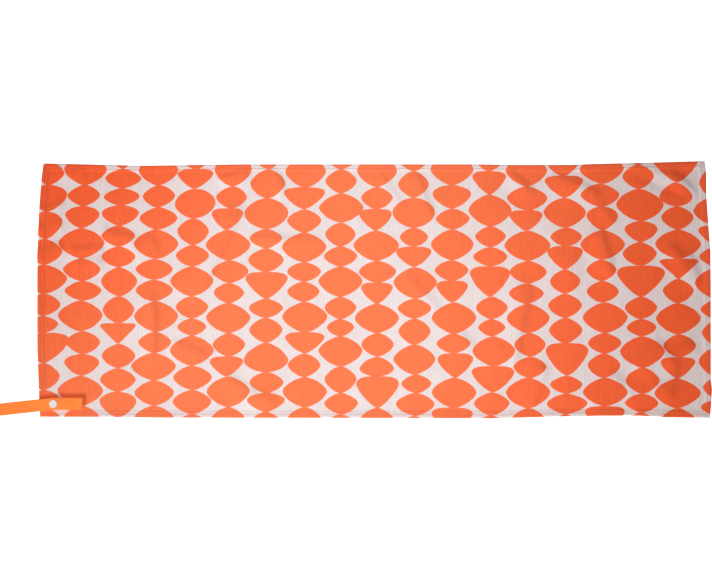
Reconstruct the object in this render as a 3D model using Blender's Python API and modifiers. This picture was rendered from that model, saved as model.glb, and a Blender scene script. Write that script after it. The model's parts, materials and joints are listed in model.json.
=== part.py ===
"""Quick dry towel with a snap-closed hanging loop, laid flat with its printed face up.

+X runs along the towel, +Y across it, +Z up. The origin is under the middle of the whole
length, loop included, on the surface that the towel lies on.
"""

import math

import bmesh
import bpy
from mathutils import Vector

# Overall sizes, in metres
TOWEL_LENGTH = 1.050
TOWEL_WIDTH = 0.400
LOOP_REACH = 0.095            # how far the loop goes past the towel's end

# Cloth and hem
CLOTH_THICKNESS = 0.0014
HEM_THICKNESS = 0.0026
HEM_WIDTH = 0.0085
HEM_ROUNDING = 0.0007
STITCH_INSET = 0.0065         # from the towel's edge to the middle of the hem stitching
THREAD_WIDTH = 0.0005
THREAD_HEIGHT = 0.0004
GAP = 0.0003                  # between pieces that touch
FOLD_HEIGHT = 0.0030          # the fold's axis, just above the hem

# Strap
STRAP_WIDTH = 0.019
STRAP_THICKNESS = 0.0011
STRAP_TILT = math.radians(6.4)   # the loop leans this much towards the near long edge
SNAP_INSET_X = 0.0224            # the snap's middle, from the towel's end
SNAP_INSET_Y = 0.0226            # the snap's middle, from the near long edge
TAB_REACH = 0.0455               # from the snap to the strap's square end
TAB_FOLD_LENGTH = 0.015          # the end turned under the tab
SEWN_LENGTH = 0.027              # the part of the strap that is stitched to the cloth
LIFT_CLEARANCE = 0.006           # from the towel's end to the line where the loop lifts
LIFT_RELIEF = 0.003              # the upper leg stays this far from the lifting line
LOOP_DROP_LENGTH = 0.020         # over this length the lower leg sinks to the table
TABLE_CLEARANCE = 0.00035        # under the lower leg, past the towel
BEND_RADIUS = 0.0035             # of the strap's middle surface, at the loop's end

# Snap fastener
SNAP_RADIUS = 0.00575
CAP_RADIUS = 0.00625
CAP_THICKNESS = 0.0011
BACK_CAP_THICKNESS = 0.0009
CAP_ROUNDING = 0.0004
PRONG_RADIUS = 0.0012
HOLE_RADIUS = PRONG_RADIUS + GAP
STUD_FLANGE = 0.0008
STUD_NOSE_RADIUS = 0.0025
STUD_NOSE_HEIGHT = 0.0018
SOCKET_PLATE = 0.0006
SOCKET_BEAD = 0.0002             # the socket's mouth grips the stud's head by this much
ROUND_STEPS = 32

# Places that follow from the sizes above
TOWEL_MIDDLE = LOOP_REACH / 2
TOWEL_LEFT = TOWEL_MIDDLE - TOWEL_LENGTH / 2
TOWEL_RIGHT = TOWEL_MIDDLE + TOWEL_LENGTH / 2
TOWEL_NEAR = -TOWEL_WIDTH / 2
TOWEL_FAR = TOWEL_WIDTH / 2
SNAP = Vector((TOWEL_LEFT + SNAP_INSET_X, TOWEL_NEAR + SNAP_INSET_Y, 0))

BACK_CAP_LOW = CLOTH_THICKNESS + GAP
BACK_CAP_HIGH = BACK_CAP_LOW + BACK_CAP_THICKNESS
LOWER_STRAP = max(BACK_CAP_HIGH, HEM_THICKNESS) + GAP + STRAP_THICKNESS / 2
STUD_LOW = LOWER_STRAP + STRAP_THICKNESS / 2 + GAP
STUD_TOP = STUD_LOW + STUD_FLANGE + STUD_NOSE_HEIGHT
SOCKET_LOW = STUD_LOW + STUD_FLANGE + GAP
SOCKET_ROOF = STUD_TOP + GAP
SOCKET_HIGH = SOCKET_ROOF + SOCKET_PLATE
UPPER_STRAP = SOCKET_HIGH + GAP + STRAP_THICKNESS / 2
CAP_LOW = UPPER_STRAP + STRAP_THICKNESS / 2 + GAP
SEWN_STRAP = CLOTH_THICKNESS + GAP + STRAP_THICKNESS / 2

LIFT_RUN = -(SNAP_INSET_X + LIFT_CLEARANCE) / math.cos(STRAP_TILT)
LOOP_END_X = SNAP_INSET_X + LOOP_REACH - STRAP_WIDTH / 2 * math.sin(STRAP_TILT)
LOOP_RUN = -LOOP_END_X / math.cos(STRAP_TILT)
BEND_RUN = LOOP_RUN + BEND_RADIUS + STRAP_THICKNESS / 2
LOOP_LOW = TABLE_CLEARANCE + STRAP_THICKNESS / 2
LOOP_HIGH = LOOP_LOW + 2 * BEND_RADIUS
BEND_GAP_ANGLE = GAP / BEND_RADIUS


# Helpers

def clear_scene():
    for obj in list(bpy.data.objects):
        bpy.data.objects.remove(obj, do_unlink=True)


def new_collection(name, hidden=False):
    collection = bpy.data.collections.new(name)
    bpy.context.scene.collection.children.link(collection)
    collection.hide_render = hidden
    return collection


def material(name, colour, roughness):
    made = bpy.data.materials.new(name)
    made.use_nodes = True
    shader = made.node_tree.nodes["Principled BSDF"]
    shader.inputs["Base Color"].default_value = (*colour, 1)
    shader.inputs["Roughness"].default_value = roughness
    shader.inputs["Metallic"].default_value = 0
    return made


def add_object(name, bm, collection):
    mesh = bpy.data.meshes.new(name)
    bm.to_mesh(mesh)
    bm.free()
    obj = bpy.data.objects.new(name, mesh)
    collection.objects.link(obj)
    return obj


def finish(obj, look, axis=None):
    """Gives a part its own material and hangs it on its joint's axis."""
    name, colour, roughness = look
    obj.data.materials.append(material(f"{name}_{obj.name}", colour, roughness))
    if axis is not None:
        obj.parent = axis
        obj.location -= axis.location


def joint_axis(name, place):
    empty = bpy.data.objects.new(name, None)
    empty.location = place
    empty.empty_display_size = 0.01
    parts.objects.link(empty)
    return empty


def box(name, low, high, collection):
    bm = bmesh.new()
    bmesh.ops.create_cube(bm, size=1)
    low, high = Vector(low), Vector(high)
    bmesh.ops.scale(bm, vec=high - low, verts=bm.verts)
    bmesh.ops.translate(bm, vec=(low + high) / 2, verts=bm.verts)
    return add_object(name, bm, collection)


def cylinder(name, radius, low, high, middle, collection):
    bm = bmesh.new()
    bmesh.ops.create_cone(
        bm, cap_ends=True, segments=ROUND_STEPS, radius1=radius, radius2=radius, depth=high - low
    )
    bmesh.ops.translate(bm, vec=(middle.x, middle.y, (low + high) / 2), verts=bm.verts)
    return add_object(name, bm, collection)


def cut(obj, cutter):
    modifier = obj.modifiers.new("Cut " + cutter.name, "BOOLEAN")
    modifier.operation = "DIFFERENCE"
    modifier.object = cutter
    cutter.hide_render = True
    cutter.display_type = "WIRE"


def turned(name, profile, middle):
    """A ring turned about the snap's axis: the profile is a closed loop of (radius, height)."""
    bm = bmesh.new()
    corners = [bm.verts.new((radius, 0, height)) for radius, height in profile]
    for first, second in zip(corners, corners[1:] + corners[:1]):
        bm.edges.new((first, second))
    obj = add_object(name, bm, parts)
    obj.location = middle
    screw = obj.modifiers.new("Turn", "SCREW")
    screw.steps = ROUND_STEPS
    screw.render_steps = ROUND_STEPS
    screw.use_merge_vertices = True
    screw.merge_threshold = 0.00001
    return obj


# Strap geometry: "run" is the distance along the strap from the snap, positive towards the tab

def strap_heading(run):
    """The direction of growing run, seen from above. The strap turns at the snap."""
    angle = 0 if run > 0 else STRAP_TILT
    if run == 0:
        angle = STRAP_TILT / 2
    return Vector((math.cos(angle), math.sin(angle), 0))


def strap_place(run, height):
    way = strap_heading(1 if run > 0 else -1)
    return SNAP + way * run + Vector((0, 0, height))


def smooth(share):
    share = min(max(share, 0), 1)
    return share * share * (3 - 2 * share)


def lower_height(run):
    """The middle of the lower leg: sewn to the cloth, up to the snap, over the hem, down to the table."""
    rise = smooth((TAB_REACH - SEWN_LENGTH - run) / (TAB_REACH - SEWN_LENGTH - SNAP_RADIUS * 1.3))
    drop = smooth((LIFT_RUN - run) / LOOP_DROP_LENGTH)
    return SEWN_STRAP + (LOWER_STRAP - SEWN_STRAP) * rise + (LOOP_LOW - LOWER_STRAP) * drop


def upper_height(run):
    """The middle of the upper leg, level over the towel and easing down to the bend."""
    fall = smooth((LIFT_RUN - run) / (LIFT_RUN - BEND_RUN))
    return UPPER_STRAP + (LOOP_HIGH - UPPER_STRAP) * fall


def runs(start, end, count):
    """Even steps from start to end, with a step at the turn under the snap."""
    steps = [start + (end - start) * i / count for i in range(count + 1)]
    if start < 0 < end:
        steps.append(0.0)
        steps.sort()
    return steps


def ribbon(name, stations):
    """A flat strip through (run, height) stations, thickened on both sides."""
    bm = bmesh.new()
    bmesh.ops.create_grid(bm, x_segments=len(stations) - 1, y_segments=1, size=0.5)
    for vert in bm.verts:
        run, height = stations[round((vert.co.x + 0.5) * (len(stations) - 1))]
        side = 1 if vert.co.y > 0 else -1
        heading = strap_heading(run)
        across = Vector((-heading.y, heading.x, 0))
        vert.co = strap_place(run, height) + across * side * STRAP_WIDTH / 2
    obj = add_object(name, bm, parts)
    thick = obj.modifiers.new("Thickness", "SOLIDIFY")
    thick.thickness = STRAP_THICKNESS
    thick.offset = 0
    thick.use_even_offset = True
    return obj


# Towel

def towel_half(name, low_x, high_x, outer_side):
    """Half of the cloth with its raised hem on three sides. outer_side is -1 on the left, 1 on the right."""
    half = box(name, (low_x, TOWEL_NEAR, 0), (high_x, TOWEL_FAR, HEM_THICKNESS), parts)
    rounding = half.modifiers.new("Rounded hem", "BEVEL")
    rounding.width = HEM_ROUNDING
    rounding.segments = 1
    rounding.limit_method = "WEIGHT"
    weights = half.data.attributes.new("bevel_weight_edge", "FLOAT", "EDGE")
    fold_x = high_x if outer_side < 0 else low_x
    for edge in half.data.edges:
        ends = [half.data.vertices[i].co for i in edge.vertices]
        at_fold = all(abs(end.x - fold_x) < GAP for end in ends)
        on_top = all(end.z > HEM_THICKNESS / 2 for end in ends)
        weights.data[edge.index].value = 1.0 if on_top and not at_fold else 0.0
    past = TOWEL_LENGTH / 10
    pocket_low = low_x + HEM_WIDTH if outer_side < 0 else low_x - past
    pocket_high = high_x + past if outer_side < 0 else high_x - HEM_WIDTH
    pocket = box(
        name + "_pocket",
        (pocket_low, TOWEL_NEAR + HEM_WIDTH, CLOTH_THICKNESS),
        (pocket_high, TOWEL_FAR - HEM_WIDTH, HEM_THICKNESS * 2),
        cutters,
    )
    cut(half, pocket)
    return half


def hem_seam(name, half, low, high, open_low, open_high, look, axis):
    """A line of stitching sunk in the hem's top, and the groove that it lies in.

    The groove runs out of the cloth at the ends that are said to be open.
    """
    lowest = HEM_THICKNESS - THREAD_HEIGHT
    thread = box(name, (*low, lowest), (*high, HEM_THICKNESS), parts)
    groove_low = [low[0] - GAP, low[1] - GAP, lowest - GAP]
    groove_high = [high[0] + GAP, high[1] + GAP, HEM_THICKNESS * 2]
    along = 0 if high[0] - low[0] > high[1] - low[1] else 1
    if open_low:
        groove_low[along] -= HEM_WIDTH
    if open_high:
        groove_high[along] += HEM_WIDTH
    groove = box(name + "_groove", groove_low, groove_high, cutters)
    cut(half, groove)
    finish(thread, look, axis)


def build_towel(fold_axis):
    cloth = ("printed microfibre", (0.82, 0.27, 0.12), 0.9)
    thread = ("hem thread", (0.62, 0.30, 0.29), 0.85)
    left = towel_half("towel_cloth_left", TOWEL_LEFT, TOWEL_MIDDLE - GAP / 2, -1)
    right = towel_half("towel_cloth_right", TOWEL_MIDDLE + GAP / 2, TOWEL_RIGHT, 1)
    half_width = THREAD_WIDTH / 2
    crossing = half_width + 3 * GAP
    left_seam = TOWEL_LEFT + STITCH_INSET
    right_seam = TOWEL_RIGHT - STITCH_INSET
    for end, half, seam_x, axis in (
        ("left", left, left_seam, None),
        ("right", right, right_seam, fold_axis),
    ):
        low = (seam_x - half_width, TOWEL_NEAR + HEM_ROUNDING)
        high = (seam_x + half_width, TOWEL_FAR - HEM_ROUNDING)
        hem_seam(f"hem_thread_{end}_end", half, low, high, True, True, thread, axis)
    for edge, seam_y in (("near", TOWEL_NEAR + STITCH_INSET), ("far", TOWEL_FAR - STITCH_INSET)):
        for end, half, axis in (("left", left, None), ("right", right, fold_axis)):
            at_left = end == "left"
            low_x = left_seam + crossing if at_left else TOWEL_MIDDLE + GAP
            high_x = TOWEL_MIDDLE - GAP if at_left else right_seam - crossing
            low = (low_x, seam_y - half_width)
            high = (high_x, seam_y + half_width)
            hem_seam(f"hem_thread_{edge}_{end}", half, low, high, not at_left, at_left, thread, axis)
    finish(left, cloth)
    finish(right, cloth, fold_axis)


# Strap

def snap_hole(obj, height):
    low, high = height - STRAP_THICKNESS * 2, height + STRAP_THICKNESS * 2
    hole = cylinder(obj.name + "_hole", HOLE_RADIUS, low, high, SNAP, cutters)
    cut(obj, hole)


def seam_ring(name, low_run, high_run, half_width, low):
    """A closed rectangle of stitching: a box with its middle cut out."""
    low_corner = (SNAP.x + low_run, SNAP.y - half_width, low)
    high_corner = (SNAP.x + high_run, SNAP.y + half_width, low + THREAD_HEIGHT)
    ring = box(name, low_corner, high_corner, parts)
    middle = box(
        name + "_middle",
        (low_corner[0] + THREAD_WIDTH, low_corner[1] + THREAD_WIDTH, low - THREAD_HEIGHT),
        (high_corner[0] - THREAD_WIDTH, high_corner[1] - THREAD_WIDTH, low + 2 * THREAD_HEIGHT),
        cutters,
    )
    cut(ring, middle)
    return ring


def tab_stations():
    """The upper leg over the snap, round its square end and back under itself."""
    turn_radius = (STRAP_THICKNESS + GAP) / 2
    end = TAB_REACH - turn_radius - STRAP_THICKNESS / 2
    stations = [(run, UPPER_STRAP) for run in runs(LIFT_RUN + LIFT_RELIEF, end, 12)]
    turn_steps = 6
    for i in range(1, turn_steps + 1):
        angle = math.pi * i / turn_steps
        height = UPPER_STRAP - turn_radius * (1 - math.cos(angle))
        stations.append((end + turn_radius * math.sin(angle), height))
    stations.append((TAB_REACH - TAB_FOLD_LENGTH, UPPER_STRAP - 2 * turn_radius))
    return stations


def build_strap(loop_axis, open_axis, tab_axis):
    webbing = ("polyester webbing", (0.95, 0.28, 0.06), 0.8)
    thread = ("strap thread", (0.93, 0.33, 0.10), 0.8)

    base_runs = runs(LIFT_RUN + GAP / 2, TAB_REACH, 20)
    base = ribbon("strap_base", [(run, lower_height(run)) for run in base_runs])
    snap_hole(base, LOWER_STRAP)
    finish(base, webbing)

    sewn_start = TAB_REACH - SEWN_LENGTH + STRAP_THICKNESS
    edge = STRAP_THICKNESS * 2
    seam_low = SEWN_STRAP + STRAP_THICKNESS / 2 + GAP
    seam = seam_ring(
        "strap_seam_thread", sewn_start + edge, TAB_REACH - edge, STRAP_WIDTH / 2 - edge, seam_low
    )
    finish(seam, thread)

    leg_runs = runs(LIFT_RUN - GAP / 2, BEND_RUN, 16)
    leg = ribbon("strap_lower_leg", [(run, lower_height(run)) for run in leg_runs])
    finish(leg, webbing, loop_axis)

    bend_steps = 12
    bend_stations = []
    for i in range(bend_steps + 1):
        angle = BEND_GAP_ANGLE + (math.pi - 2 * BEND_GAP_ANGLE) * i / bend_steps
        run = BEND_RUN - BEND_RADIUS * math.sin(angle)
        height = LOOP_LOW + BEND_RADIUS * (1 - math.cos(angle))
        bend_stations.append((run, height))
    finish(ribbon("strap_bend", bend_stations), webbing, loop_axis)

    upper_runs = runs(BEND_RUN, LIFT_RUN - LIFT_RELIEF, 10)
    upper = ribbon("strap_upper_leg", [(run, upper_height(run)) for run in upper_runs])
    finish(upper, webbing, open_axis)

    tab = ribbon("strap_tab", tab_stations())
    snap_hole(tab, UPPER_STRAP)
    finish(tab, webbing, tab_axis)

    tab_seam_run = TAB_REACH - TAB_FOLD_LENGTH + edge
    tab_seam_low = UPPER_STRAP + STRAP_THICKNESS / 2 + GAP
    tab_seam = box(
        "tab_seam_thread",
        (SNAP.x + tab_seam_run, SNAP.y - STRAP_WIDTH / 2 + edge, tab_seam_low),
        (SNAP.x + tab_seam_run + THREAD_WIDTH, SNAP.y + STRAP_WIDTH / 2 - edge, tab_seam_low + THREAD_HEIGHT),
        parts,
    )
    finish(tab_seam, thread, tab_axis)


# Snap

def cap(name, face, rim, prong_end):
    """A disc with a rounded edge on its face and a prong out of its other side."""
    low, high = min(face, rim), max(face, rim)
    disc = cylinder(name, CAP_RADIUS, low, high, SNAP, parts)
    rounding = disc.modifiers.new("Rounded face", "BEVEL")
    rounding.width = CAP_ROUNDING
    rounding.segments = 2
    rounding.limit_method = "WEIGHT"
    weights = disc.data.attributes.new("bevel_weight_edge", "FLOAT", "EDGE")
    for edge in disc.data.edges:
        on_face = all(abs(disc.data.vertices[i].co.z - face) < CAP_ROUNDING / 2 for i in edge.vertices)
        weights.data[edge.index].value = 1.0 if on_face else 0.0
    prong_low, prong_high = min(prong_end, (low + high) / 2), max(prong_end, (low + high) / 2)
    prong = cylinder(name + "_prong", PRONG_RADIUS, prong_low, prong_high, SNAP, cutters)
    joined = disc.modifiers.new("Prong", "BOOLEAN")
    joined.operation = "UNION"
    joined.object = prong
    prong.hide_render = True
    prong.display_type = "WIRE"
    return disc


def build_snap(tab_axis):
    plastic = ("snap acetal", (0.80, 0.73, 0.70), 0.35)
    back_cap = cap("snap_back_cap", BACK_CAP_LOW, BACK_CAP_HIGH, STUD_TOP - GAP)
    finish(back_cap, plastic)

    flange_top = STUD_LOW + STUD_FLANGE
    neck = STUD_NOSE_RADIUS - SOCKET_BEAD
    stud = turned(
        "snap_stud",
        [
            (STUD_NOSE_RADIUS - CAP_ROUNDING, STUD_TOP),
            (STUD_NOSE_RADIUS, STUD_TOP - CAP_ROUNDING),
            (STUD_NOSE_RADIUS, STUD_TOP - STUD_NOSE_HEIGHT / 2),
            (neck, flange_top + GAP),
            (neck, flange_top),
            (SNAP_RADIUS, flange_top),
            (SNAP_RADIUS, STUD_LOW),
            (HOLE_RADIUS, STUD_LOW),
            (HOLE_RADIUS, STUD_TOP),
        ],
        SNAP,
    )
    finish(stud, plastic)

    mouth = STUD_NOSE_RADIUS + GAP
    socket = turned(
        "snap_socket",
        [
            (SNAP_RADIUS - CAP_ROUNDING, SOCKET_HIGH),
            (SNAP_RADIUS, SOCKET_HIGH - CAP_ROUNDING),
            (SNAP_RADIUS, SOCKET_LOW),
            (mouth, SOCKET_LOW),
            (mouth, SOCKET_ROOF),
            (HOLE_RADIUS, SOCKET_ROOF),
            (HOLE_RADIUS, SOCKET_HIGH),
        ],
        SNAP,
    )
    finish(socket, plastic, tab_axis)

    top_cap = cap("snap_cap", CAP_LOW + CAP_THICKNESS, CAP_LOW, SOCKET_ROOF + GAP / 2)
    finish(top_cap, plastic, tab_axis)


clear_scene()
parts = new_collection("quick_dry_towel")
cutters = new_collection("cutters", hidden=True)
lift_height = (LOWER_STRAP + UPPER_STRAP) / 2
fold_empty = joint_axis("fold_axis", Vector((TOWEL_MIDDLE, 0, FOLD_HEIGHT)))
lift_empty = joint_axis("loop_lift_axis", strap_place(LIFT_RUN, lift_height))
open_empty = joint_axis("snap_open_axis", strap_place(BEND_RUN, LOOP_LOW + BEND_RADIUS))
tab_empty = joint_axis("tab_axis", strap_place(LIFT_RUN, lift_height))
build_towel(fold_empty)
build_strap(lift_empty, open_empty, tab_empty)
build_snap(tab_empty)
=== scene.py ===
import json
import math
import re

import bmesh
import bpy
import numpy as np
from mathutils import Matrix, Vector, noise


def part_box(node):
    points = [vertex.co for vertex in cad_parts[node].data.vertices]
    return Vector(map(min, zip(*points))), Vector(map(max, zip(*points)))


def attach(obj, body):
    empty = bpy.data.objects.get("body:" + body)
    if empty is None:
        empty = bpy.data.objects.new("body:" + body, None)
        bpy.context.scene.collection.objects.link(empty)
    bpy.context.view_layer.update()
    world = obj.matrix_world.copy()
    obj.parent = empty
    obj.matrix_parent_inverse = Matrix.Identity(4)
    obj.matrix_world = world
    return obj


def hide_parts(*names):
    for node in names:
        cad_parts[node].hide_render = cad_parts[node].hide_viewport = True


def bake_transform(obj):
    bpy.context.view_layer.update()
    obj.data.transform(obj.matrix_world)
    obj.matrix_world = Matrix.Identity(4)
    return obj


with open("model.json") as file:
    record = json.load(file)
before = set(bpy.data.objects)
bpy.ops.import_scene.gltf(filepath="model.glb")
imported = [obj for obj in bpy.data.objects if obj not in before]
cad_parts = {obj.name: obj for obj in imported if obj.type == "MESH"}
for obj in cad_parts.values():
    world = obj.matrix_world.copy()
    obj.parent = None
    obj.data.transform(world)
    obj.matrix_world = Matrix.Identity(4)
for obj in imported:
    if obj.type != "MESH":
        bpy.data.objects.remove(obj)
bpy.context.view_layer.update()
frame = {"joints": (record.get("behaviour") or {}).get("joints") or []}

mm = 0.001  # sizes are in millimetres, apart from the studio's, and meshes are in metres


# 0 before start and 1 past end, with a smooth step between
def fade(value, start, end):
    share = np.clip((value - start) / (end - start), 0, 1)
    return share * share * (3 - 2 * share)


# sRGB hex to the linear colour that nodes use
def linear(hexColour):
    channels = [int(hexColour[i:i + 2], 16) / 255 for i in (1, 3, 5)]
    return [c / 12.92 if c <= 0.04045 else ((c + 0.055) / 1.055) ** 2.4 for c in channels] + [1]


# Adds a node and returns one of its outputs. An input is a number, a tuple, an sRGB hex colour or
# another node's output, and the settings are the node's own. A Mix node's colours are 6 and 7.
def addNode(tree, kind, inputs=None, output=0, **settings):
    node = tree.nodes.new("ShaderNode" + kind)
    for name, value in settings.items():
        setattr(node, name, value)
    for name, value in (inputs or {}).items():
        if isinstance(value, bpy.types.NodeSocket):
            tree.links.new(value, node.inputs[name])
        else:
            node.inputs[name].default_value = linear(value) if isinstance(value, str) else value
    return node.outputs[output]


def newMaterial(name, colour, roughness, sockets=None):
    material = bpy.data.materials.new(name)
    material.use_nodes = True
    shader = material.node_tree.nodes["Principled BSDF"]
    shader.inputs["Base Color"].default_value = linear(colour)
    shader.inputs["Roughness"].default_value = roughness
    for socket, value in (sockets or {}).items():
        shader.inputs[socket].default_value = value
    return material, material.node_tree, shader


# Gives the shader a colour, and a relief this deep in mm
def finishShader(tree, shader, colour, relief, strength, depth):
    tree.links.new(colour, shader.inputs["Base Color"])
    bump = addNode(tree, "Bump", {"Height": relief, "Strength": strength, "Distance": depth * mm})
    tree.links.new(bump, shader.inputs["Normal"])


# Turns a bmesh into a smooth object, and frees it
def meshObject(name, bm, materials):
    mesh = bpy.data.meshes.new(name)
    bm.to_mesh(mesh)
    bm.free()
    obj = bpy.data.objects.new(name, mesh)
    bpy.context.scene.collection.objects.link(obj)
    for material in materials:
        mesh.materials.append(material)
    mesh.shade_smooth()
    return obj


def getPoints(mesh):
    points = np.empty(len(mesh.vertices) * 3)
    mesh.vertices.foreach_get("co", points)
    return points.reshape(-1, 3)


# Takes the points in mm
def setPoints(mesh, points):
    mesh.vertices.foreach_set("co", (np.asarray(points) * mm).ravel())
    mesh.update()


def setAttribute(mesh, name, kind, domain, values):
    attribute = mesh.attributes.new(name, kind, domain)
    field = "vector" if kind == "FLOAT_VECTOR" else "value"
    attribute.data.foreach_set(field, np.asarray(values, np.float32).ravel())


def boxOf(node):
    low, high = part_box(node)
    return low / mm, high / mm


def jointPlace(name):
    joint = next(j for j in frame["joints"] if j["name"] == name)
    return Vector(joint["pos_m"]) / mm, Vector(joint["axis"])


# Places that come from the frame
(towelLeft, towelNear, _), (leftHalfEnd, towelFar, _) = boxOf("towel_cloth_left")
(rightHalfStart, _, _), (towelRight, _, _) = boxOf("towel_cloth_right")
foldX = (leftHalfEnd + rightHalfStart) / 2


# Print: columns of stacked shapes, as (place along the towel, how far the first shape reaches
# past the far edge, the shapes from the far edge to the near one). A shape is written as its
# kind, height x width, and how far it sits right or left of its column.
fabricPrint = {
    "neck": 0.45,      # each shape runs this far into the next one
    "fuller": 0.6,     # the dye spreads this much past each side of the drawn shape
    "softEdge": 0.35,  # how far the dye bleeds
    "wobble": 0.9,     # the printed edge wanders by about this much
    "wobbleSize": 16,  # over this length
    "fray": 0.5,       # and the nap makes it this uneven
    "farInside": -8,   # distances to a shape's edge are kept between these
    "farOutside": 12,
    "columns": [
        (-469, 2, "35x41+4 high42x54+4 high43x48+3 41x50+2 46x64+2 35x47+1 27x43 cup47x74 42x46 30x46 "
                  "36x50"),
        (-411.5, 15, "48x65 33x50 high35x53 48x71 36x58 31x57+2 48x68-2 36x53+2 high34x54 48x70-2 38x55"),
        (-354, 42, "48x40 32x56+2 27x56+2 high32x58+2 33x52 33x53 46x56+1 43x49 wedge32x55-1 38x52 "
                   "37x55-1 high41x57-1 40x52"),
        (-298, 15, "48x61+1 35x50+4 35x59+6 47x69+3 33x58 34x58 48x68+3 33x51+1 43x69-1 40x61 38x60"),
        (-239, 40, "47x56 cup32x56 round46x63+3 43x49+2 34x52+1 47x67 35x50 27x45 47x68 38x60+1 38x60 "
                   "38x55"),
        (-182, 17, "52x59+3 35x48+3 cup34x49-2 48x69 36x57+3 32x47+1 47x69 37x50+1 cup31x52-3 48x67 38x52"),
        (-123, 40, "48x50 46x55 round48x68 31x50 38x55 cup42x65+1 30x53 39x51 low46x69 33x53+1 high29x59 "
                   "38x50"),
        (-63, 13, "50x64 cup34x65-1 37x53 47x69 31x53 32x50-1 48x70+1 cup33x61+1 37x50 47x69+1 38x52"),
        (-6, 40, "48x60 38x49 46x69+1 38x47 32x52 48x68 35x49 27x42 47x68 42x49 33x52+1 38x50"),
        (51, 14, "50x63 35x49 cup34x50-2 48x71-1 35x58+1 cup33x49 46x69 37x50+1 low31x53 cup49x66+1 38x52"),
        (109, 36, "47x55 42x48 round47x66 31x44 cup32x55 50x67+2 31x52+1 41x50+1 47x65+1 29x47+4 35x60+2 "
                  "38x50"),
        (170, 15, "48x67 high37x60-1 33x52 49x66-1 33x52-2 cup34x49-1 49x69+2 31x52+1 cup38x55+4 47x69+2 "
                  "cup38x64-1"),
        (229, 36, "47x50 cup37x52 50x67 33x47 31x53 cup48x62-1 35x49+2 27x41+2 47x66+5 cup41x66+4 35x55+2 "
                  "38x50"),
        (288, 15, "50x65 38x63 cup32x52-3 48x72-1 36x58 32x54-3 46x67 37x49+3 33x52+3 48x69 38x52"),
        (346, 29, "47x52 cup35x60+1 47x66 30x49+2 cup37x55 38x47 38x52 40x51+1 cup51x66+3 28x50+2 "
                  "34x63+3 38x45"),
        (405, 14, "45x69+3 36x61-2 high37x49 47x69 34x46-2 34x50 48x70+4 32x52+3 38x51+2 47x69+4 "
                  "cup38x61+3"),
        (465, 44, "47x50 36x49 51x74 high33x51 38x53-2 cup49x74 35x50 27x46+1 49x69+2 41x52+2 32x52+1 "
                  "36x45"),
        (523, 20, "cup50x80+3 low36x52 37x51 47x71 wedge32x59+1 38x47 49x68 36x50+2 cup33x53-1 47x70-2 "
                  "38x52"),
        (582.5, -10, "42x42 45x65 cup33x52 33x53 51x68 32x50 42x46 48x56 34x46 26x50 36x45"),
    ],
    # kind: how far down its widest line is, then how full its upper and lower halves are
    "kinds": {
        "": (0.48, (1.42, 1.6), (1.42, 1.6)),
        "round": (0.48, (1.75, 1.75), (1.75, 1.75)),
        "high": (0.38, (1.8, 1.9), (1.42, 1.5)),
        "low": (0.58, (1.42, 1.5), (1.8, 1.9)),
        "cup": (0.24, (3.5, 2.2), (1.32, 1.32)),
        "wedge": (0.13, (5.0, 2.5), (1.06, 1.06)),
    },
}
printAttributes = ("printFirst", "printSecond", "printThird")


# Each printed shape as its middle, half width, and its two halves' heights and powers
def printShapes():
    shapes = []
    for columnX, pastEdge, stack in fabricPrint["columns"]:
        top = towelFar + pastEdge
        for word in stack.split():
            kind, height, width, aside = re.fullmatch(r"(\D*)(\d+)x(\d+)([+-]\d+)?", word).groups()
            waist, upper, lower = fabricPrint["kinds"][kind]
            height = int(height)
            above = waist * height
            shapes.append((
                columnX + int(aside or 0), top - above, int(width) / 2 + fabricPrint["fuller"],
                above + fabricPrint["neck"], height - above + fabricPrint["neck"], upper, lower,
            ))
            top -= height
    return shapes


# How far each point lies outside each printed shape, one row a shape; less than 0 inside
def distancesToShapes(x, y):
    rows = []
    for midX, midY, halfWidth, above, below, upper, lower in printShapes():
        across = np.abs(x - midX) / halfWidth
        inUpper = y > midY
        reach = np.where(inUpper, above, below)
        along = np.abs(y - midY) / reach
        acrossPower = np.where(inUpper, upper[0], lower[0])
        alongPower = np.where(inUpper, upper[1], lower[1])
        value = across ** acrossPower + along ** alongPower - 1
        slope = np.hypot(
            acrossPower * across ** (acrossPower - 1) / halfWidth,
            alongPower * along ** (alongPower - 1) / reach,
        )
        distance = value / np.maximum(slope, 0.001)
        rows.append(np.clip(distance, fabricPrint["farInside"], fabricPrint["farOutside"]))
    return np.array(rows, np.float32)


# Every face keeps the three shapes nearest to it, as a distance in mm at each corner
def storePrint(mesh, x, y):
    distances = distancesToShapes(x, y)
    corners = np.empty(len(mesh.polygons) * 4, int)  # every face has four
    mesh.polygons.foreach_get("vertices", corners)
    corners = corners.reshape(-1, 4)
    atFaces = distances[:, corners].mean(axis=2)
    nearest = np.argpartition(atFaces, len(printAttributes), axis=0)
    for name, shape in zip(printAttributes, nearest):
        setAttribute(mesh, name, "FLOAT", "CORNER", distances[shape[:, None], corners])


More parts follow.
